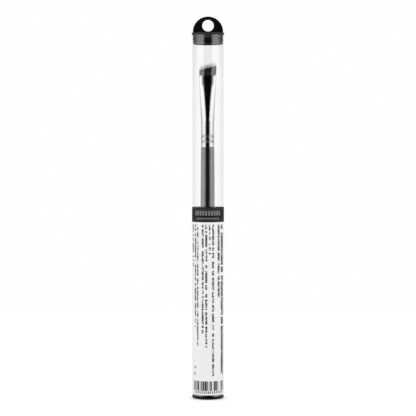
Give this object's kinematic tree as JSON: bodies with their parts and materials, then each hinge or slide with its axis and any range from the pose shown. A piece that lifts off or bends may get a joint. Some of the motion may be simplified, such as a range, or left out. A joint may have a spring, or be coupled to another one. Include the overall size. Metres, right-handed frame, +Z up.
{
  "type": "angled brow brush in a hanging tube",
  "caption": "Slim brow brush with a slanted tuft, oval bright ferrule and black handle, standing in a clear round tube with a hanging cap, an end plug and a wrapped label.",
  "frame": {"origin": "centre of the flat underside of the bottom plug, on the axis of the tube", "axes": "+Z up along the tube to the hanging tab, +X to the right in the picture, on the long side of the bristles, +Y away from the viewer, towards the label's seam"},
  "size_m": [0.0164, 0.0164, 0.1918],
  "materials": {
    "plug_plastic": "moulded, satin",
    "tube_plastic": "clear, smooth",
    "label_film": "printed, matt",
    "cap_plastic": "moulded, satin",
    "handle_lacquer": "black gloss lacquer",
    "ferrule_metal": "bright plated",
    "resin": "set resin",
    "bristle": "dark synthetic bristle"
  },
  "bodies": {
    "base": {"bottom_plug": "plug_plastic"},
    "tube": {"clear_tube": "tube_plastic", "label_film": "label_film"},
    "cap": {"hang_cap": "cap_plastic"},
    "brush": {"handle": "handle_lacquer", "ferrule": "ferrule_metal", "resin_plug": "resin", "bristle_tuft": "bristle"}
  },
  "joints": [
    {"name": "tube_lift", "type": "slide", "parent": "base", "child": "tube", "axis": [0, 0, 1], "range_m": [0, 0.185]},
    {"name": "cap_pull", "type": "slide", "parent": "tube", "child": "cap", "axis": [0, 0, 1], "range_m": [0, 0.02]},
    {"name": "brush_slide", "type": "slide", "parent": "base", "child": "brush", "axis": [0, 0, 1], "range_m": [0, 0.0126]}
  ]
}
